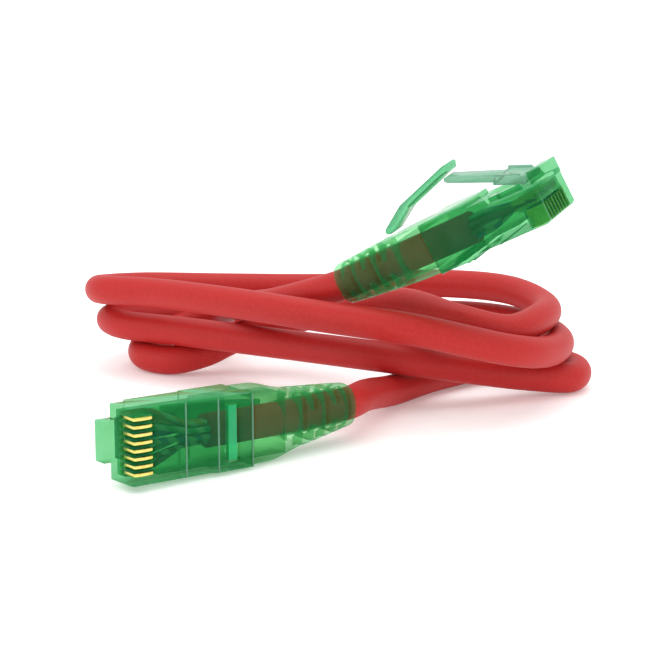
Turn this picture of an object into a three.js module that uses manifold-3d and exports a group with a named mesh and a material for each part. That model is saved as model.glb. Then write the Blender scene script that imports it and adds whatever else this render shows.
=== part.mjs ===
// An ethernet patch cable: two clear green modular plugs with snagless boots on one red
// round cable, which lies in a loose flat coil. Millimetres, +Z up, the floor at z = 0.
//
// Each plug is modelled in its own frame: +X from the nose to the rear, +Y from the contact
// face to the latch face, +Z across the width. x = 0 is the nose, y = 0 the contact face,
// z = 0 the middle. Both plugs are the same group, placed by a position and a rotation.

import * as THREE from 'three';
import * as BufferGeometryUtils from 'three/addons/utils/BufferGeometryUtils.js';
import Module from 'manifold-3d';

const wasm = await Module();
wasm.setup();

// ---- Driving dimensions ----

const GAP = 0.3; // clearance left between neighbouring pieces

const HOUSING = { width: 11.68, length: 21.4, wall: 0.7, contactStep: 14, flange: 0.65 };
// The latch side's height above the contact face: at the nose, from `rail` on and from `step` on.
const HEIGHT = { nose: 6.3, rail: 7.35, rear: 8, railStart: 2.6, step: 13.1 };
const LATCH_RECESS = { wide: [2.5, 7.5], wideHalf: 3.4, narrow: [7.2, 9.8], narrowHalf: 2 };
const AXIS_Y = 3.6; // the cable's axis, above the contact face
const ROOT_BLOCK = { front: -1.4, back: 1.3, top: 8.4, halfWidth: 3.2 };
const CONTACT = { count: 8, pitch: 1.2, thickness: 0.45, slot: 0.75, front: 0.4, back: 3.6, low: 0.3, high: 3.1 };
const COMB = { front: 1.0, back: 5.2, low: 3.6, high: 5.2, halfWidth: 4.7, wireY: 4.35 };
const WIRE_RADIUS = 0.42;
const WIRE_RING = 1.55; // the conductors' ring where they leave the jacket
const JACKET_END = 15.2;
const STRAIN_BAR = { front: 16.9, back: 18.5, low: -0.35, high: 0.6, halfWidth: 4.3 };

const LATCH = {
  pivot: [2.3, 7.5], tilt: 22, length: 14.2, root: 4.9, thickness: 1.4, tail: 1.0, width: 6.2, tailWidth: 3.3,
};
const BOOT = { front: 21.7, back: 42, bore: 3.0, pocket: 28, lift: 0.6 };
const BOOT_SLOTS = { start: 30.9, pitch: 2.3, count: 5, width: 0.9, bridge: 1.3, floor: 3.3 };
const ARM = { pivot: [28.7, 8.9], knee: [24.4, 11.3], tip: [14.5, 14.1], thickness: 1.2, width: 4.6 };

const CABLE_RADIUS = 2.7;
const CABLE_SIDES = 12;
const CABLE_STEPS = 84;

// Where each plug lies: its nose's middle on the contact face, and its turn about Z, then Y, then X.
const PLUGS = {
  a: { position: [-31.1, -24.65, 7.02], turn: [37.5, 2, -3] },
  b: { position: [34.7, 1.95, 37.8], turn: [149, 26.5, 81] },
};

// The cable's middle line from the boot of plug A to the boot of plug B.
const CABLE_ROUTE = [
  // out of plug A, back along the floor and round the lowest right-hand turn
  [4, 12.5, 5.1], [9, 24, 2.9], [17, 34, 2.8], [27, 42, 2.8], [37, 45, 2.8], [42.5, 39.5, 2.8], [41, 33, 2.8],
  // the lower front strand, leftwards over the first, and round the middle left-hand turn
  [33, 30.5, 3.8], [20, 26.5, 6.4], [7, 24.5, 8.7], [-10, 34.5, 8.5], [-30, 45, 8.5], [-41, 51, 8.4], [-43.5, 57.5, 8.2],
  [-36, 64.5, 7.2],
  // the hidden back strand and the middle right-hand turn
  [-15, 70.5, 6], [8, 70.5, 6], [26, 62.5, 7.5], [36, 49.5, 8.5], [39, 35.5, 9], [35.5, 23, 10], [28, 14, 12.5],
  // the upper front strand and the top left-hand turn
  [12, 11.5, 16.5], [-4, 19, 17.2], [-20, 31, 17], [-34, 42.5, 16.2], [-44, 50, 15.2], [-45, 57.5, 13.9],
  [-38, 65.5, 12.7],
  // the top back strand and the top right-hand turn
  [-22, 69, 11.8], [-2, 67.5, 12], [20, 63.5, 13.6], [32, 53.5, 14.4], [37, 40.5, 14], [34.5, 29, 14.4], [28.2, 21.3, 14.2],
  // under plug B, down behind the front strands and round the lowest left-hand turn on the floor
  [20, 21.5, 16], [11, 31, 16.8], [1, 42, 13.5], [-10, 48.5, 9.5], [-20, 48, 6.2], [-25, 46.9, 4], [-31, 45.8, 2.8],
  [-36, 48.6, 2.8], [-37.3, 54, 3.1], [-34.8, 59, 4.2], [-29, 61.2, 6.1], [-23.2, 58, 8.6],
  // up behind the front strands to plug B
  [-20.4, 50, 12.2], [-17, 41.5, 14], [-11.5, 33.2, 16.4],
];

// ---- Materials ----

const plastic = (color, opacity) =>
  new THREE.MeshStandardMaterial({ color, roughness: 0.15, transparent: opacity < 1, opacity });
const materials = {
  housing: plastic(0x10a852, 0.55),
  latch: plastic(0x6ec391, 0.7),
  boot: plastic(0x1fae5c, 0.6),
  comb: plastic(0x9ca33c, 0.8),
  gold: new THREE.MeshStandardMaterial({ color: 0xb9af4b, roughness: 0.25, metalness: 1 }),
  jacket: new THREE.MeshStandardMaterial({ color: 0xbe3232, roughness: 0.45 }),
};
const WIRE_COLOURS = [0xe8a878, 0xe07820, 0xa8d8a8, 0x2850b0, 0xa8b8e8, 0x208040, 0xc8a890, 0x7a4a2a];

// ---- Shape helpers ----

const radians = THREE.MathUtils.degToRad;

// A manifold solid from a closed three.js geometry.
function solid(geometry) {
  const bare = geometry.clone();
  bare.deleteAttribute('normal');
  bare.deleteAttribute('uv');
  const merged = BufferGeometryUtils.mergeVertices(bare, 1e-5);
  const mesh = new wasm.Mesh({
    numProp: 3,
    vertProperties: new Float32Array(merged.attributes.position.array),
    triVerts: new Uint32Array(merged.index.array),
  });
  return new wasm.Manifold(mesh);
}

// A three.js geometry from a manifold solid.
function geometryOf(manifold) {
  const { vertProperties, triVerts } = manifold.getMesh();
  const geometry = new THREE.BufferGeometry();
  geometry.setAttribute('position', new THREE.BufferAttribute(new Float32Array(vertProperties), 3));
  geometry.setIndex(new THREE.BufferAttribute(new Uint32Array(triVerts), 1));
  geometry.computeVertexNormals();
  return geometry;
}

function box([x0, x1], [y0, y1], [z0, z1]) {
  const geometry = new THREE.BoxGeometry(x1 - x0, y1 - y0, z1 - z0);
  return geometry.translate((x0 + x1) / 2, (y0 + y1) / 2, (z0 + z1) / 2);
}

// A side profile in x and y, extruded to `width` across the middle plane.
function sideProfile(shape, width, curveSegments = 6) {
  const geometry = new THREE.ExtrudeGeometry(shape, { depth: width, bevelEnabled: false, curveSegments });
  return geometry.translate(0, 0, -width / 2);
}

const polygon = (points) => new THREE.Shape(points.map(([x, y]) => new THREE.Vector2(x, y)));

// A straight round rod along +X.
function rod(radius, [x0, x1], y, z, sides = 10) {
  const geometry = new THREE.CylinderGeometry(radius, radius, x1 - x0, sides);
  return geometry.rotateZ(-Math.PI / 2).translate((x0 + x1) / 2, y, z);
}

// A round rod of `sides` sides swept along `path`.
function sweep(path, radius, sides, steps) {
  const section = new THREE.Shape();
  for (let i = 0; i < sides; i++) {
    const angle = (i / sides) * 2 * Math.PI;
    const corner = [radius * Math.cos(angle), radius * Math.sin(angle)];
    if (i === 0) section.moveTo(...corner);
    else section.lineTo(...corner);
  }
  return new THREE.ExtrudeGeometry(section, { steps, extrudePath: path, bevelEnabled: false });
}

// Steps follow the points of the route, which stand closer together round its turns.
class RoutePath extends THREE.CatmullRomCurve3 {
  getPointAt(t, target) {
    return this.getPoint(t, target);
  }

  getTangentAt(t, target) {
    return this.getTangent(t, target);
  }
}

// Where each conductor and blade stands across the plug, from the first to the last.
const contactZ = (index) => ((CONTACT.count - 1) / 2 - index) * CONTACT.pitch;

// ---- Pieces of a plug ----

function housingGeometry() {
  const { width, length, wall, contactStep, flange } = HOUSING;
  const { nose, rail, rear, railStart, step } = HEIGHT;
  const bevel = 0.4;
  const ramp = 0.8;
  const outline = polygon([
    [0, bevel], [bevel, 0], [contactStep, 0], [contactStep + ramp, -flange], [length, -flange],
    [length, rear], [step, rear], [step, rail], [railStart + bevel, rail], [railStart, nose], [0, nose],
  ]);
  let body = solid(sideProfile(outline, width));

  const { front, back, top, halfWidth } = ROOT_BLOCK;
  body = body.add(solid(box([front, back], [nose - 0.5, top], [-halfWidth, halfWidth])));

  const cavityHalf = COMB.halfWidth + GAP;
  const slotRoof = COMB.low - GAP;
  const ceiling = nose - wall;
  const { wide, wideHalf, narrow, narrowHalf } = LATCH_RECESS;
  const cutters = [
    box([wall, contactStep], [slotRoof, ceiling], [-cavityHalf, cavityHalf]),
    box([COMB.back + GAP, contactStep], [1.3, ceiling], [-cavityHalf, cavityHalf]),
    box([contactStep - GAP, length + 1], [0.1, rear - wall], [-cavityHalf, cavityHalf]),
    box([STRAIN_BAR.front - GAP, STRAIN_BAR.back + GAP], [-flange - 1, 1], [-cavityHalf, cavityHalf]),
    box(wide, [nose, rear + 1], [-wideHalf, wideHalf]),
    box(narrow, [nose, rear + 1], [-narrowHalf, narrowHalf]),
  ];
  for (let i = 0; i < CONTACT.count; i++) {
    const half = CONTACT.slot / 2;
    cutters.push(box([-1, CONTACT.back + GAP], [-1, slotRoof + 0.2], [contactZ(i) - half, contactZ(i) + half]));
  }
  for (const cutter of cutters) body = body.subtract(solid(cutter));
  return geometryOf(body);
}

// A blade with a rounded front corner and a slightly bowed outer edge.
function contactGeometry() {
  const { front, back, low, high, thickness } = CONTACT;
  const nose = 0.9;
  const shape = new THREE.Shape();
  shape.moveTo(front, high);
  shape.lineTo(front, low + nose);
  shape.quadraticCurveTo(front, low + 0.1, front + nose, low);
  shape.quadraticCurveTo((front + back) / 2, low - 0.12, back, low + 0.15);
  shape.lineTo(back, high);
  return sideProfile(shape, thickness, 4);
}

function loadBarGeometry() {
  const { front, back, low, high, halfWidth, wireY } = COMB;
  let bar = solid(box([front, back], [low, high], [-halfWidth, halfWidth]));
  for (let i = 0; i < CONTACT.count; i++) {
    bar = bar.subtract(solid(rod(WIRE_RADIUS + 0.1, [front - 1, back + 1], wireY, contactZ(i), 8)));
  }
  return geometryOf(bar);
}

// One conductor, from the ring of eight at the end of the jacket to its place over a blade.
function wireGeometry(index) {
  const side = Math.floor(index / 2);
  const angle = radians([22.5, 67.5, 112.5, 157.5][side]);
  const z = WIRE_RING * Math.cos(angle);
  const y = AXIS_Y + WIRE_RING * Math.sin(angle) * (index % 2 ? 1 : -1);
  const path = new THREE.CatmullRomCurve3([
    new THREE.Vector3(COMB.front + 0.4, COMB.wireY, contactZ(index)),
    new THREE.Vector3(COMB.back - 1.2, COMB.wireY, contactZ(index)),
    new THREE.Vector3(COMB.back + 0.6, COMB.wireY, contactZ(index)),
    new THREE.Vector3(JACKET_END - 3, y, z),
    new THREE.Vector3(JACKET_END - GAP, y, z),
  ]);
  return sweep(path, WIRE_RADIUS, 6, 14);
}

// The latch lies along its own +X from its pivot: a wide root plate, then a narrow tail.
function latchGeometry() {
  const { length, root, thickness, tail, width, tailWidth } = LATCH;
  const radius = thickness / 2;
  const rootShape = new THREE.Shape();
  rootShape.absarc(0, 0, radius, Math.PI / 2, 1.5 * Math.PI);
  rootShape.lineTo(root, -radius);
  rootShape.lineTo(root, radius);
  const tailShape = polygon([
    [root - 1, -radius], [length, -radius], [length, tail - radius], [root - 1, radius],
  ]);
  const plate = solid(sideProfile(rootShape, width, 4));
  return geometryOf(plate.add(solid(sideProfile(tailShape, tailWidth))));
}

function strainBarGeometry() {
  const { front, back, low, high, halfWidth } = STRAIN_BAR;
  const slope = 0.35;
  return sideProfile(polygon([[front, low], [back, low], [back, high - slope], [front, high]]), 2 * halfWidth);
}

// How far the boot and the cable in it are bent to one side at a station.
const boreShift = (x) => BOOT.lift * THREE.MathUtils.smoothstep(x, BOOT.pocket, BOOT.back + 2);

// Half height and half width of the boot's outside, and how square its corners are, at a station.
function bootSection(x) {
  const t = (x - BOOT.front) / (BOOT.back - BOOT.front);
  const shoulder = THREE.MathUtils.smoothstep(x, BOOT.front + 3, BOOT_SLOTS.start);
  return {
    high: 4.3 - 0.75 * t * t,
    wide: THREE.MathUtils.lerp(5.9, 4.6, shoulder) - 1.1 * Math.max(0, t - 0.4) / 0.6,
    squareness: THREE.MathUtils.lerp(6, 2.4, t),
  };
}

// The boot's outside: a round rod whose every ring is spread to the section at its station.
function bootOutside() {
  const rings = 12;
  const sides = 24;
  const length = BOOT.back - BOOT.front;
  const geometry = new THREE.CylinderGeometry(1, 1, length, sides, rings);
  geometry.rotateZ(-Math.PI / 2).translate(BOOT.front + length / 2, 0, 0);
  const position = geometry.attributes.position;
  for (let i = 0; i < position.count; i++) {
    const [x, y, z] = [position.getX(i), position.getY(i), position.getZ(i)];
    if (Math.hypot(y, z) < 0.5) continue; // the middle of an end
    const { high, wide, squareness } = bootSection(x);
    const angle = Math.atan2(y, z);
    const [c, s] = [Math.cos(angle), Math.sin(angle)];
    const reach = (Math.abs(c) ** squareness + Math.abs(s) ** squareness) ** (-1 / squareness);
    position.setXYZ(i, x, reach * s * high, reach * c * wide + boreShift(x));
  }
  return geometry.translate(0, AXIS_Y, 0);
}

function bootGeometry() {
  let body = solid(bootOutside());
  const rim = 1.1;
  const { high, wide } = bootSection(BOOT.pocket);
  const pocket = box(
    [BOOT.front - 1, BOOT.pocket], [AXIS_Y - high + rim, AXIS_Y + high - rim], [-wide + rim, wide - rim],
  );
  const stations = [BOOT.front - 1, BOOT.pocket, 31, 34, 37, 40, BOOT.back + 1];
  const axis = new THREE.CatmullRomCurve3(stations.map((x) => new THREE.Vector3(x, AXIS_Y, boreShift(x))));
  const core = solid(sweep(axis, BOOT_SLOTS.floor, 20, 18)); // the wall the slots leave round the cable
  const reach = 8;
  const grooves = [];
  for (let i = 0; i < BOOT_SLOTS.count; i++) {
    const x = BOOT_SLOTS.start + i * BOOT_SLOTS.pitch;
    const span = [x, x + BOOT_SLOTS.width];
    for (const across of [[-reach, -BOOT_SLOTS.bridge], [BOOT_SLOTS.bridge, reach]]) {
      const slot = i % 2
        ? box(span, [AXIS_Y - reach, AXIS_Y + reach], across.map((z) => z + boreShift(x)))
        : box(span, across.map((y) => AXIS_Y + y), [-reach, reach]);
      grooves.push(solid(slot).subtract(core));
    }
  }
  for (const cutter of [solid(pocket), solid(sweep(axis, BOOT.bore, 20, 18)), ...grooves]) body = body.subtract(cutter);
  return geometryOf(body);
}

// The boot's arm, from its round root over the knee to the tip above the latch's tail.
function armGeometry() {
  const half = ARM.thickness / 2;
  const [pivot, knee, tip] = [ARM.pivot, ARM.knee, ARM.tip].map(([x, y]) => new THREE.Vector2(x, y));
  const normal = (from, to) => to.clone().sub(from).normalize().rotateAround(new THREE.Vector2(), -Math.PI / 2);
  const first = normal(pivot, knee);
  const second = normal(knee, tip);
  const middle = first.clone().add(second).normalize();
  const at = (point, direction, distance) => point.clone().addScaledVector(direction, distance);
  const start = at(pivot, first, half);
  const startAngle = Math.atan2(first.y, first.x);
  const shape = new THREE.Shape();
  shape.moveTo(start.x, start.y);
  for (const [point, direction, distance] of [
    [knee, middle, half], [tip, second, half], [tip, second, -half + 0.4], [knee, middle, -half], [pivot, first, -half],
  ]) {
    const corner = at(point, direction, distance);
    shape.lineTo(corner.x, corner.y);
  }
  shape.absarc(pivot.x, pivot.y, half, startAngle + Math.PI, startAngle + 2 * Math.PI);
  return sideProfile(shape, ARM.width, 5);
}

// ---- The assembly ----

function addMesh(group, name, geometry, material) {
  const mesh = new THREE.Mesh(geometry, material);
  mesh.name = name;
  group.add(mesh);
  return mesh;
}

function plug(suffix) {
  const group = new THREE.Group();
  addMesh(group, `housing_${suffix}`, housingGeometry(), materials.housing);
  const latch = addMesh(group, `latch_${suffix}`, latchGeometry(), materials.latch);
  latch.position.set(...LATCH.pivot, 0);
  latch.rotation.z = radians(LATCH.tilt);
  for (let i = 0; i < CONTACT.count; i++) {
    addMesh(group, `contact_${suffix}${i + 1}`, contactGeometry(), materials.gold).position.z = contactZ(i);
    const colour = new THREE.MeshStandardMaterial({ color: WIRE_COLOURS[i], roughness: 0.5 });
    addMesh(group, `wire_${suffix}${i + 1}`, wireGeometry(i), colour);
  }
  addMesh(group, `load_bar_${suffix}`, loadBarGeometry(), materials.comb);
  addMesh(group, `strain_bar_${suffix}`, strainBarGeometry(), materials.housing);
  addMesh(group, `boot_${suffix}`, bootGeometry(), materials.boot);
  addMesh(group, `boot_arm_${suffix}`, armGeometry(), materials.boot);

  const { position, turn } = PLUGS[suffix];
  group.position.set(...position);
  group.rotation.set(radians(turn[2]), radians(turn[1]), radians(turn[0]), 'ZYX');
  group.updateMatrixWorld(true);
  return group;
}

// Points on a plug's cable axis, through its boot.
function axisPoints(plugGroup, stations) {
  return stations.map((x) => plugGroup.localToWorld(new THREE.Vector3(x, AXIS_Y, boreShift(x))));
}

function cable(plugA, plugB) {
  const inBoot = [JACKET_END, 24, 33, 39, BOOT.back + 1];
  const path = new RoutePath([
    ...axisPoints(plugA, inBoot),
    ...CABLE_ROUTE.map((point) => new THREE.Vector3(...point)),
    ...axisPoints(plugB, inBoot.toReversed()),
  ]);
  return sweep(path, CABLE_RADIUS, CABLE_SIDES, CABLE_STEPS);
}

const patchCable = new THREE.Group();
const plugA = plug('a');
const plugB = plug('b');
patchCable.add(plugA, plugB);
addMesh(patchCable, 'cable_jacket', cable(plugA, plugB), materials.jacket);

export default patchCable;
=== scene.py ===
"""An ethernet patch cable: two clear green modular plugs with snagless boots on a red round cable in a loose coil.

Each plug is built in its own frame in millimetres, as in the CAD: x from the nose to the rear, y from the contact
face to the latch face, z across the width. A matrix then carries it to its place, in metres.
"""

import math

import bmesh
import bpy
from mathutils import Matrix, Vector


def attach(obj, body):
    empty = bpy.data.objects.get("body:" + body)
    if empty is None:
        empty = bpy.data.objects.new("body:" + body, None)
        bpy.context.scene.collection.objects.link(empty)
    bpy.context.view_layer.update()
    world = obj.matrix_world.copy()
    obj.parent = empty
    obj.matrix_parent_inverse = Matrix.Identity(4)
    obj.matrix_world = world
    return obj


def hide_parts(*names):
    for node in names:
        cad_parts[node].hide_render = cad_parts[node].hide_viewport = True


MM = 0.001
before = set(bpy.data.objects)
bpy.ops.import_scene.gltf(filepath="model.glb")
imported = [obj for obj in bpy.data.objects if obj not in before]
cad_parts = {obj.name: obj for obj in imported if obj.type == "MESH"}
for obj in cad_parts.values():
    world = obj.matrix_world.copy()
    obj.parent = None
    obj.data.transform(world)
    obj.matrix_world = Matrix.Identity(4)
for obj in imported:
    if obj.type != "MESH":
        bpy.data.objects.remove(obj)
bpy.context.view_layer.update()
ROOT = "cable_with_plugs"

# ---- Dimensions, millimetres ----

AXIS_Y = 3.6
JACKET_END = 15.2
CABLE_RADIUS = 2.7
BOOT_FRONT = 21.7
BOOT_END = 42
HOUSING_WIDTH = 11.68
CONTACT_COUNT = 8
CONTACT_PITCH = 1.2
WIRE_RADIUS = 0.46
WIRE_Y = 4.35  # the conductors' height where they lie in the load bar
WIRE_RING = 1.55  # the conductors' ring where they leave the jacket
LATCH_PIVOT = (2.3, 7.5)
LATCH_TILT = 22  # degrees
# the boot's slots along it: the first, their spacing, number and width, the bridge and the wall they leave
SLOT_START, SLOT_PITCH, SLOT_COUNT, SLOT_WIDTH, SLOT_BRIDGE, SLOT_FLOOR = 30.9, 2.3, 5, 0.9, 1.3, 3.3

PLUGS = {
    "a": ((-31.1, -24.65, 7.02), (37.5, 2, -3)),
    "b": ((34.7, 1.95, 37.8), (149, 26.5, 81)),
}

# The cable's middle line from the boot of plug A to the boot of plug B.
CABLE_ROUTE = [
    # out of plug A, back along the floor and round the lowest right-hand turn
    (4, 12.5, 5.1), (9, 24, 2.9), (17, 34, 2.8), (27, 42, 2.8), (37, 45, 2.8), (42.5, 39.5, 2.8), (41, 33, 2.8),
    # the lower front strand, leftwards over the first, and round the middle left-hand turn
    (33, 30.5, 3.8), (20, 26.5, 6.4), (7, 24.5, 8.7), (-10, 34.5, 8.5), (-30, 45, 8.5), (-41, 51, 8.4),
    (-43.5, 57.5, 8.2), (-36, 64.5, 7.2),
    # the hidden back strand and the middle right-hand turn
    (-15, 70.5, 6), (8, 70.5, 6), (26, 62.5, 7.5), (36, 49.5, 8.5), (39, 35.5, 9), (35.5, 23, 10), (28, 14, 12.5),
    # the upper front strand and the top left-hand turn
    (12, 11.5, 16.5), (-4, 19, 17.2), (-20, 31, 17), (-34, 42.5, 16.2), (-44, 50, 15.2), (-45, 57.5, 13.9),
    (-38, 65.5, 12.7),
    # the top back strand and the top right-hand turn
    (-22, 69, 11.8), (-2, 67.5, 12), (20, 63.5, 13.6), (32, 53.5, 14.4), (37, 40.5, 14), (34.5, 29, 14.4),
    (28.2, 21.3, 14.2),
    # under plug B, down behind the front strands and round the lowest left-hand turn on the floor
    (20, 21.5, 16), (11, 31, 16.8), (1, 42, 13.5), (-10, 48.5, 9.5), (-20, 48, 6.2), (-25, 46.9, 4), (-31, 45.8, 2.8),
    (-36, 48.6, 2.8), (-37.3, 54, 3.1), (-34.8, 59, 4.2), (-29, 61.2, 6.1), (-23.2, 58, 8.6),
    # up behind the front strands to plug B
    (-20.4, 50, 12.2), (-17, 41.5, 14), (-11.5, 33.2, 16.4),
]


def plug_matrix(side):
    """From a plug's own frame in millimetres to the row frame in metres."""
    position, turn = PLUGS[side]
    spin = Matrix.Rotation(math.radians(turn[0]), 4, "Z")
    spin = spin @ Matrix.Rotation(math.radians(turn[1]), 4, "Y") @ Matrix.Rotation(math.radians(turn[2]), 4, "X")
    return Matrix.Scale(MM, 4) @ Matrix.Translation(position) @ spin


def smoothstep(x, low, high):
    t = min(max((x - low) / (high - low), 0), 1)
    return t * t * (3 - 2 * t)


def bore_shift(x):
    """How far the boot and the cable in it are bent to one side at a station."""
    return 0.6 * smoothstep(x, 28, BOOT_END + 2)


# ---- Camera ----

camera_data = bpy.data.cameras.new("camera")
camera_data.sensor_width = 36
camera_data.lens = 99.7
camera_data.clip_start = 0.01
camera = bpy.data.objects.new("camera", camera_data)
camera.location = (-0.0028, -0.27805, 0.0842)
camera.rotation_euler = (math.radians(77), 0, 0)
bpy.context.scene.collection.objects.link(camera)
bpy.context.scene.camera = camera


# ---- Materials ----


def new_material(name):
    material = bpy.data.materials.new(name)
    material.use_nodes = True
    tree = material.node_tree
    tree.nodes.clear()
    output = tree.nodes.new("ShaderNodeOutputMaterial")
    return material, tree, output


def add_node(tree, kind, **values):
    node = tree.nodes.new(kind)
    for name, value in values.items():
        if name in node.inputs:
            node.inputs[name].default_value = value
        else:
            setattr(node, name, value)
    return node


def noise(tree, scale):
    """Noise in object space, its scale in features per metre."""
    coordinates = add_node(tree, "ShaderNodeTexCoord")
    texture = add_node(tree, "ShaderNodeTexNoise", Scale=scale, Detail=3.0)
    tree.links.new(coordinates.outputs["Object"], texture.inputs["Vector"])
    return texture


def ramp(tree, source, low, high):
    """A colour that runs from low to high with a noise factor."""
    node = add_node(tree, "ShaderNodeValToRGB")
    node.color_ramp.elements[0].position = 0.3
    node.color_ramp.elements[1].position = 0.7
    node.color_ramp.elements[0].color = (*low, 1)
    node.color_ramp.elements[1].color = (*high, 1)
    tree.links.new(source, node.inputs["Fac"])
    return node.outputs["Color"]


def bump(tree, source, distance):
    node = add_node(tree, "ShaderNodeBump", Strength=1.0, Distance=distance)
    tree.links.new(source, node.inputs["Height"])
    return node.outputs["Normal"]


SHADOW_TINT = (0.86, 0.95, 0.88)


def clear_plastic(name, tint, body, cloud, roughness=0.12):
    """Moulded clear plastic: tinted, a little cloudy, with a polished skin that is whiter where it is seen edge on."""
    material, tree, output = new_material(name)
    flow = noise(tree, 260)
    skin = bump(tree, flow.outputs["Fac"], 0.00006)
    through = add_node(tree, "ShaderNodeBsdfTransparent")
    tree.links.new(ramp(tree, flow.outputs["Fac"], *tint), through.inputs["Color"])
    solid = add_node(tree, "ShaderNodeBsdfPrincipled", Roughness=roughness, IOR=1.55)
    tree.links.new(ramp(tree, flow.outputs["Fac"], *body), solid.inputs["Base Color"])
    tree.links.new(skin, solid.inputs["Normal"])
    facing = add_node(tree, "ShaderNodeLayerWeight", Blend=0.5)
    tree.links.new(skin, facing.inputs["Normal"])
    edge = add_node(tree, "ShaderNodeMath", operation="POWER")
    tree.links.new(facing.outputs["Facing"], edge.inputs[0])
    edge.inputs[1].default_value = 4.0
    amount = add_node(tree, "ShaderNodeMapRange")
    amount.inputs["To Min"].default_value = cloud
    amount.inputs["To Max"].default_value = 1.0
    tree.links.new(edge.outputs["Value"], amount.inputs["Value"])
    mix = add_node(tree, "ShaderNodeMixShader")
    tree.links.new(amount.outputs["Result"], mix.inputs["Fac"])
    tree.links.new(through.outputs["BSDF"], mix.inputs[1])
    tree.links.new(solid.outputs["BSDF"], mix.inputs[2])
    # lets the lamps through, so that what is inside is lit
    rays = add_node(tree, "ShaderNodeLightPath")
    shadow = add_node(tree, "ShaderNodeBsdfTransparent", Color=(*SHADOW_TINT, 1))
    lit = add_node(tree, "ShaderNodeMixShader")
    tree.links.new(rays.outputs["Is Shadow Ray"], lit.inputs["Fac"])
    tree.links.new(mix.outputs["Shader"], lit.inputs[1])
    tree.links.new(shadow.outputs["BSDF"], lit.inputs[2])
    tree.links.new(lit.outputs["Shader"], output.inputs["Surface"])
    return material


def solid_material(name, low, high, roughness, scale=900, metallic=0.0, bump_height=0.00002, sheen=0.5):
    """An opaque surface whose colour, roughness and skin vary a little."""
    material, tree, output = new_material(name)
    grain = noise(tree, scale)
    shader = add_node(tree, "ShaderNodeBsdfPrincipled", Metallic=metallic)
    shader.inputs["Specular IOR Level"].default_value = sheen
    tree.links.new(ramp(tree, grain.outputs["Fac"], low, high), shader.inputs["Base Color"])
    spread = add_node(tree, "ShaderNodeMapRange")
    spread.inputs["To Min"].default_value = roughness * 0.85
    spread.inputs["To Max"].default_value = roughness * 1.2
    tree.links.new(grain.outputs["Fac"], spread.inputs["Value"])
    tree.links.new(spread.outputs["Result"], shader.inputs["Roughness"])
    tree.links.new(bump(tree, grain.outputs["Fac"], bump_height), shader.inputs["Normal"])
    tree.links.new(shader.outputs["BSDF"], output.inputs["Surface"])
    return material


def striped_wire(name, light, dark):
    """Insulation with a helical stripe."""
    material, tree, output = new_material(name)
    coordinates = add_node(tree, "ShaderNodeTexCoord")
    wave = add_node(tree, "ShaderNodeTexWave", Scale=180.0, Distortion=1.5)
    wave.bands_direction = "DIAGONAL"
    tree.links.new(coordinates.outputs["Object"], wave.inputs["Vector"])
    shader = add_node(tree, "ShaderNodeBsdfPrincipled", Roughness=0.4)
    tree.links.new(ramp(tree, wave.outputs["Fac"], dark, light), shader.inputs["Base Color"])
    tree.links.new(shader.outputs["BSDF"], output.inputs["Surface"])
    return material


HOUSING = clear_plastic(
    "clear green housing", ((0.40, 0.71, 0.47), (0.46, 0.75, 0.52)), ((0.02, 0.44, 0.16), (0.04, 0.50, 0.21)), 0.1
)
BOOT = clear_plastic(
    "clear green boot", ((0.60, 0.85, 0.62), (0.66, 0.88, 0.68)), ((0.03, 0.42, 0.16), (0.05, 0.50, 0.22)), 0.08, 0.2
)
# the latch's plastic has a paler, greyer body and more cloud than the housing's: painted sheen of the light on the
# latch
LATCH = clear_plastic(
    "painted sheen green latch", ((0.46, 0.72, 0.57), (0.52, 0.76, 0.61)), ((0.20, 0.42, 0.30), (0.26, 0.47, 0.35)), 0.45
)
ARM = clear_plastic(
    "clear green arm", ((0.34, 0.72, 0.48), (0.42, 0.77, 0.54)), ((0.10, 0.42, 0.22), (0.15, 0.48, 0.28)), 0.25, 0.2
)
STRAIN = clear_plastic(
    "strain bar", ((0.20, 0.78, 0.42), (0.26, 0.82, 0.46)), ((0.01, 0.52, 0.20), (0.03, 0.58, 0.24)), 0.5
)
COMB = clear_plastic(
    "clear comb", ((0.80, 0.84, 0.45), (0.85, 0.88, 0.52)), ((0.48, 0.52, 0.10), (0.56, 0.60, 0.14)), 0.45
)
GOLD = solid_material("gold plate", (0.72, 0.56, 0.12), (0.86, 0.70, 0.22), 0.28, scale=1500, metallic=1.0)
JACKET = solid_material("red jacket", (0.42, 0.014, 0.013), (0.47, 0.020, 0.018), 0.5, scale=1600, sheen=0.25)
COPPER = solid_material("bare copper", (0.70, 0.30, 0.16), (0.80, 0.40, 0.22), 0.3, metallic=1.0)

WIRE_COLOURS = [(0.50, 0.20, 0.05), (0.06, 0.25, 0.09), (0.04, 0.09, 0.34), (0.16, 0.07, 0.03)]
WIRE_WHITE = (0.36, 0.35, 0.32)
WIRES = []
for number, wire_colour in enumerate(WIRE_COLOURS):
    darker = tuple(0.8 * part for part in wire_colour)
    WIRES.append(striped_wire(f"striped wire {number + 1}", WIRE_WHITE, wire_colour))
    WIRES.append(solid_material(f"plain wire {number + 1}", darker, wire_colour, 0.4))
# the order across a plug: orange pair, green stripe, blue pair, green, brown pair
WIRE_ORDER = [0, 1, 2, 5, 4, 3, 6, 7]


# ---- Mesh helpers, in a plug's own millimetres ----


def mesh_object(name, mesh):
    piece = bpy.data.objects.new(name, mesh)
    bpy.context.scene.collection.objects.link(piece)
    return piece


def from_bmesh(name, form):
    bmesh.ops.recalc_face_normals(form, faces=form.faces)
    mesh = bpy.data.meshes.new(name)
    form.to_mesh(mesh)
    form.free()
    return mesh_object(name, mesh)


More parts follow.
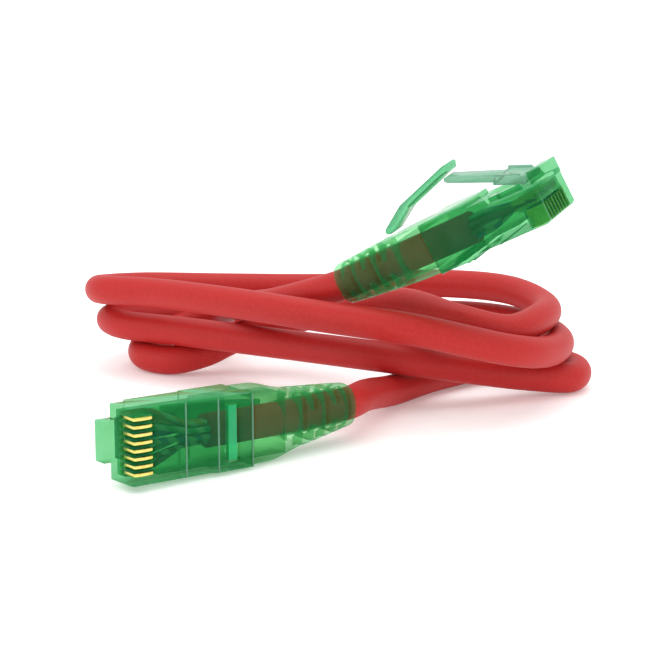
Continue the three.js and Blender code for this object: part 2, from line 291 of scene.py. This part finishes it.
def prism(name, outline, width, middle=0.0):
    """A side outline in x and y, extruded across the plug."""
    form = bmesh.new()
    near = [form.verts.new((x, y, middle - width / 2)) for x, y in outline]
    far = [form.verts.new((x, y, middle + width / 2)) for x, y in outline]
    form.faces.new(near)
    form.faces.new(list(reversed(far)))
    for i in range(len(outline)):
        j = (i + 1) % len(outline)
        form.faces.new((near[j], near[i], far[i], far[j]))
    return from_bmesh(name, form)


def block(xs, ys, zs, name="cutter"):
    outline = [(xs[0], ys[0]), (xs[1], ys[0]), (xs[1], ys[1]), (xs[0], ys[1])]
    return prism(name, outline, zs[1] - zs[0], (zs[0] + zs[1]) / 2)


def tube(name, points, radius, sides=16):
    """A round tube along points, whose section turns as little as it can."""
    form = bmesh.new()
    tangents = []
    for i, point in enumerate(points):
        ahead = points[min(i + 1, len(points) - 1)]
        behind = points[max(i - 1, 0)]
        tangents.append((ahead - behind).normalized())
    across = tangents[0].orthogonal().normalized()
    rings = []
    for point, tangent in zip(points, tangents):
        across = (across - tangent * across.dot(tangent)).normalized()
        over = tangent.cross(across)
        ring = []
        for k in range(sides):
            angle = 2 * math.pi * k / sides
            ring.append(form.verts.new(point + radius * (math.cos(angle) * across + math.sin(angle) * over)))
        rings.append(ring)
    for first, second in zip(rings, rings[1:]):
        for k in range(sides):
            form.faces.new((first[k], first[(k + 1) % sides], second[(k + 1) % sides], second[k]))
    form.faces.new(rings[0])
    form.faces.new(list(reversed(rings[-1])))
    return from_bmesh(name, form)


def carve(body, cutters, operation="DIFFERENCE"):
    """Cuts, or adds, the cutters one by one and deletes them."""
    for cutter in cutters:
        modifier = body.modifiers.new("carve", "BOOLEAN")
        modifier.operation = operation
        modifier.solver = "EXACT"
        modifier.object = cutter
    applied(body)
    for cutter in cutters:
        bpy.data.objects.remove(cutter)
    return body


def applied(piece):
    """The piece's modifiers, made part of its mesh."""
    graph = bpy.context.evaluated_depsgraph_get()
    mesh = bpy.data.meshes.new_from_object(piece.evaluated_get(graph))
    piece.modifiers.clear()
    piece.data = mesh


def bevel(piece, width, angle=40):
    form = bmesh.new()
    form.from_mesh(piece.data)
    bmesh.ops.remove_doubles(form, verts=form.verts, dist=0.002)
    flat = [edge for edge in form.edges if len(edge.link_faces) == 2 and edge.calc_face_angle(0) < math.radians(1)]
    bmesh.ops.dissolve_edges(form, edges=flat, use_verts=False)
    form.to_mesh(piece.data)
    form.free()
    modifier = piece.modifiers.new("bevel", "BEVEL")
    modifier.width = width
    modifier.segments = 2
    modifier.limit_method = "ANGLE"
    modifier.angle_limit = math.radians(angle)
    modifier.miter_outer = "MITER_ARC"
    applied(piece)


def place(piece, matrix, material, body=ROOT, replaces=(), smooth=35):
    """Carries a finished piece to its place and hooks it to its body."""
    piece.data.transform(matrix)
    piece.data.shade_smooth()
    piece.data.set_sharp_from_angle(angle=math.radians(smooth))
    piece.data.materials.clear()
    piece.data.materials.append(material)
    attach(piece, body)
    if replaces:
        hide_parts(*replaces)
    return piece


# ---- The cable ----


def catmull_rom(points, count):
    """The centripetal curve through points, count steps to each stretch, as the CAD draws it."""
    ends = [2 * points[0] - points[1]] + points + [2 * points[-1] - points[-2]]
    out = []
    for i in range(1, len(ends) - 2):
        p0, p1, p2, p3 = ends[i - 1 : i + 3]
        d0, d1, d2 = [math.sqrt((b - a).length) for a, b in ((p0, p1), (p1, p2), (p2, p3))]
        start = ((p1 - p0) / d0 - (p2 - p0) / (d0 + d1) + (p2 - p1) / d1) * d1
        finish = ((p2 - p1) / d1 - (p3 - p1) / (d1 + d2) + (p3 - p2) / d2) * d1
        for k in range(count):
            t = k / count
            out.append(
                p1 + start * t + (3 * (p2 - p1) - 2 * start - finish) * t * t
                + (2 * (p1 - p2) + start + finish) * t * t * t
            )
    out.append(points[-1])
    return out


def axis_points(side, stations):
    matrix = plug_matrix(side)
    return [matrix @ Vector((x, AXIS_Y, bore_shift(x))) for x in stations]


in_boot = [JACKET_END, 24, 33, 39, BOOT_END + 1]
route = axis_points("a", in_boot)
route += [Vector(point) * MM for point in CABLE_ROUTE]
route += axis_points("b", in_boot[::-1])
line = catmull_rom(route, 12)
cable = tube("cable", line, CABLE_RADIUS * MM, sides=28)
cable.data.shade_smooth()
cable.data.materials.append(JACKET)
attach(cable, ROOT)
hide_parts("cable_jacket")


# ---- The plugs ----


def contact_z(index):
    return ((CONTACT_COUNT - 1) / 2 - index) * CONTACT_PITCH


def housing(side, matrix):
    outline = [
        (0, 0.4), (0.4, 0), (13.9, 0), (14.7, -0.65), (15.7, -0.65), (15.8, -0.8), (16.1, -0.8), (16.2, -0.65),
        (21.4, -0.65), (21.4, 8.0), (13.1, 8.0), (13.1, 7.35), (3.0, 7.35), (2.6, 6.3), (0, 6.3),
    ]
    body = prism(f"housing_shell_{side}", outline, HOUSING_WIDTH)
    carve(body, [block((-1.4, 1.3), (5.8, 8.4), (-3.2, 3.2))], "UNION")
    cutters = [
        block((0.7, 5.5), (3.3, 5.6), (-5.0, 5.0)),
        prism("cutter", [(5.2, 1.5), (14.2, 1.1), (14.2, 5.6), (5.2, 5.6)], 10),
        prism("cutter", [(13.8, 0.3), (22.4, 0.1), (22.4, 7.3), (14.4, 7.3), (13.8, 5.6)], 10),
        block((16.6, 18.8), (-1.65, 1.0), (-4.6, 4.6)),
        block((2.5, 7.5), (6.3, 9), (-3.4, 3.4)),
        block((7.2, 9.8), (6.3, 9), (-2, 2)),
    ]
    for i in range(CONTACT_COUNT):
        z = contact_z(i)
        cutters.append(block((-1, 3.95), (-1, 3.6), (z - 0.38, z + 0.38)))
    carve(body, cutters)
    bevel(body, 0.12)
    place(body, matrix, HOUSING, replaces=[f"housing_{side}"])
    # thin ribs across the contact face, drawn in the latch plastic so that its painted sheen shows them as pale bright
    # lines
    for start, level in ((9.3, 0), (14.75, -0.65), (21.05, -0.65)):
        ridge = block((start, start + 0.25), (level - 0.14, level + 0.1), (-5.7, 5.7), f"ridge_{side}")
        bevel(ridge, 0.05)
        place(ridge, matrix, LATCH)


def contacts(side, matrix):
    for i in range(CONTACT_COUNT):
        z = contact_z(i)
        outline = [(3.65, 3.1), (0.4, 3.1)]
        for k in range(6):
            angle = math.radians(90 * k / 5)
            outline.append((0.65 - 0.25 * math.cos(angle), 0.4 - 0.25 * math.sin(angle)))
        for k in range(1, 7):
            t = k / 6
            outline.append((0.65 + 3.0 * t, 0.15 - 0.14 * math.sin(math.pi * t)))
        blade = prism(f"contact_blade_{side}{i + 1}", outline, 0.5, z)
        bevel(blade, 0.07, angle=50)
        place(blade, matrix, GOLD, replaces=[f"contact_{side}{i + 1}"])


def wires(side, matrix):
    ring = [22.5, 67.5, 112.5, 157.5]
    for i in range(CONTACT_COUNT):
        angle = math.radians(ring[i // 2])
        lean = 1.6 * math.sin(angle) * (1 if i % 2 else -1)
        z = WIRE_RING * math.cos(angle)
        target = contact_z(i)
        points = [
            (1.2, WIRE_Y, target), (4.0, WIRE_Y, target), (5.8, 4.3, target),
            (8.6, AXIS_Y + 0.4 * lean + 0.3, target * 0.72),
            (12.2, AXIS_Y + lean, z), (14.0, AXIS_Y + lean, z), (15.0, AXIS_Y + lean, z),
        ]
        path = catmull_rom([Vector(point) for point in points], 8)
        wire = tube(f"conductor_{side}{i + 1}", path, WIRE_RADIUS, sides=14)
        kind = WIRE_ORDER[i]
        replaced = [f"wire_{side}{i + 1}"]
        place(wire, matrix, WIRES[kind], replaces=replaced)
        core = tube(f"core_{side}{i + 1}", [Vector((0.9, WIRE_Y, target)), Vector((1.21, WIRE_Y, target))], 0.25, 10)
        place(core, matrix, COPPER)


def load_bar(side, matrix):
    bar = block((1.0, 5.2), (3.55, 5.2), (-4.7, 4.7), f"comb_{side}")
    holes = []
    for i in range(CONTACT_COUNT):
        ends = [Vector((x, WIRE_Y, contact_z(i))) for x in (0.5, 5.7)]
        holes.append(tube("cutter", ends, 0.5))
    carve(bar, holes)
    bevel(bar, 0.08)
    place(bar, matrix, COMB, replaces=[f"load_bar_{side}"])


def strain_bar(side, matrix):
    outline = [(16.9, -0.35), (18.5, -0.35), (18.5, 0.3), (18.0, 0.6), (17.2, 0.6), (16.9, 0.45)]
    bar = prism(f"strain_wedge_{side}", outline, 8.6)
    bevel(bar, 0.1)
    place(bar, matrix, STRAIN, replaces=[f"strain_bar_{side}"])


def latch(side, matrix):
    """A wide root plate with two ribs, then a narrow tail with a rounded end."""
    pivot = Matrix.Translation((*LATCH_PIVOT, 0)) @ Matrix.Rotation(math.radians(LATCH_TILT), 4, "Z")
    plate = [(-0.7, 0.1), (-0.5, -0.5), (0, -0.7), (5.1, -0.75), (5.1, 0.35), (3.6, 0.62), (0, 0.7), (-0.5, 0.5)]
    body = prism(f"latch_tab_{side}", plate, 6.2)
    tail = prism("cutter", [(3.9, -0.72), (13.6, -0.7), (14.2, -0.45), (14.2, 0.1), (13.8, 0.32), (4.2, 0.6)], 3.3)
    shoulders = [block((0.6, 4.6), (0.3, 0.95), (side_z - 0.35, side_z + 0.35)) for side_z in (-2.75, 2.75)]
    carve(body, [tail] + shoulders, "UNION")
    bevel(body, 0.13)
    place(body, matrix @ pivot, LATCH, body=f"latch_{side}", replaces=[f"latch_{side}"])


def boot_section(x):
    """Half height, half width and squareness of the boot's outside at a station."""
    t = (x - BOOT_FRONT) / (BOOT_END - BOOT_FRONT)
    shoulder = smoothstep(x, 24.7, 31.2)
    high = 4.3 - 0.75 * t * t
    wide = 5.9 + (4.6 - 5.9) * shoulder - 1.1 * max(0, t - 0.4) / 0.6
    return high, wide, 7 + (2.4 - 7) * t


def boot_outside(name):
    form = bmesh.new()
    rings = []
    sides = 64
    for step in range(41):
        x = BOOT_FRONT + (BOOT_END - BOOT_FRONT) * step / 40
        high, wide, square = boot_section(x)
        ring = []
        for k in range(sides):
            angle = 2 * math.pi * (k + 0.5) / sides
            c, s = math.cos(angle), math.sin(angle)
            reach = (abs(c) ** square + abs(s) ** square) ** (-1 / square)
            ring.append(form.verts.new((x, AXIS_Y + reach * s * high, reach * c * wide + bore_shift(x))))
        rings.append(ring)
    for first, second in zip(rings, rings[1:]):
        for k in range(sides):
            form.faces.new((first[k], first[(k + 1) % sides], second[(k + 1) % sides], second[k]))
    form.faces.new(rings[0])
    form.faces.new(list(reversed(rings[-1])))
    return from_bmesh(name, form)


def boot(side, matrix):
    body = boot_outside(f"boot_cover_{side}")
    stations = [20, 24, 28, 30, 32, 34, 36, 38, 40, 42, 44]
    axis = [Vector((x, AXIS_Y, bore_shift(x))) for x in stations]
    bore = tube("cutter", axis, 2.95, 32)
    grooves = []
    for i in range(SLOT_COUNT):
        x = SLOT_START + SLOT_PITCH * i
        along = (x, x + SLOT_WIDTH)
        shift = bore_shift(x)
        for low, high in ((-8, -SLOT_BRIDGE), (SLOT_BRIDGE, 8)):
            if i % 2:
                grooves.append(block(along, (AXIS_Y - 8, AXIS_Y + 8), (low + shift, high + shift)))
            else:
                grooves.append(block(along, (AXIS_Y + low, AXIS_Y + high), (-8, 8)))
    for groove in grooves:
        carve(groove, [tube("wall", axis, SLOT_FLOOR, 32)])
    carve(body, [block((20.7, 28.2), (0.45, 6.75), (-4.75, 4.75)), bore] + grooves)
    bevel(body, 0.1, angle=50)
    place(body, matrix, BOOT, replaces=[f"boot_{side}"])


def arm(side, matrix):
    """The bent arm, hollowed along its inner face, with a turned-up tip."""
    outside = [
        (28.3, 8.3), (29.2, 8.5), (29.3, 9.0), (28.9, 9.45), (24.8, 11.85), (24.5, 12.0), (15.1, 14.65), (14.4, 14.85),
        (13.95, 14.6), (14.3, 13.55), (23.9, 10.82), (24.2, 10.68), (28.0, 8.5),
    ]
    body = prism(f"snag_arm_{side}", outside, 4.6)
    groove = prism("cutter", [(15.6, 12.6), (23.6, 10.2), (23.9, 11.3), (15.9, 13.65)], 2.9)
    carve(body, [groove])
    bevel(body, 0.16)
    place(body, matrix, ARM, body=f"boot_arm_{side}", replaces=[f"boot_arm_{side}"])


for plug_side in PLUGS:
    plug_place = plug_matrix(plug_side)
    for build in (housing, contacts, wires, load_bar, strain_bar, latch, boot, arm):
        build(plug_side, plug_place)


# ---- Floor, lights and surroundings ----


def floor():
    form = bmesh.new()
    bmesh.ops.create_grid(form, x_segments=2, y_segments=2, size=3.0)
    piece = from_bmesh("floor", form)
    piece.location.z = -0.00005
    material, tree, output = new_material("pale floor")
    grain = noise(tree, 4)
    shader = add_node(tree, "ShaderNodeBsdfPrincipled", Roughness=0.55)
    pale = ramp(tree, grain.outputs["Fac"], (0.95, 0.95, 0.95), (0.97, 0.97, 0.97))
    tree.links.new(pale, shader.inputs["Base Color"])
    shader.inputs["Emission Color"].default_value = (1, 1, 1, 1)
    shader.inputs["Emission Strength"].default_value = 0.2
    tree.links.new(shader.outputs["BSDF"], output.inputs["Surface"])
    piece.data.materials.append(material)


def area_light(name, location, size, power):
    """A softbox aimed at the middle of the coil."""
    data = bpy.data.lights.new(name, "AREA")
    data.shape = "RECTANGLE"
    data.size, data.size_y = size
    data.energy = power
    lamp = bpy.data.objects.new(name, data)
    lamp.location = location
    lamp.rotation_euler = (Vector((0, 0.02, 0.02)) - Vector(location)).to_track_quat("-Z", "Y").to_euler()
    bpy.context.scene.collection.objects.link(lamp)


floor()
area_light("top softbox", (0.05, 0.15, 0.75), (0.8, 0.6), 2.6)
area_light("left softbox", (-0.7, -0.35, 0.4), (0.5, 0.5), 1.2)
area_light("right softbox", (0.6, -0.5, 0.45), (0.45, 0.45), 0.6)

world = bpy.data.worlds.new("studio")
world.use_nodes = True
world.node_tree.nodes["Background"].inputs["Color"].default_value = (1.0, 1.0, 1.0, 1)
world.node_tree.nodes["Background"].inputs["Strength"].default_value = 1.0
bpy.context.scene.world = world

bpy.context.scene.view_settings.view_transform = "Standard"
bpy.context.scene.cycles.transparent_max_bounces = 32
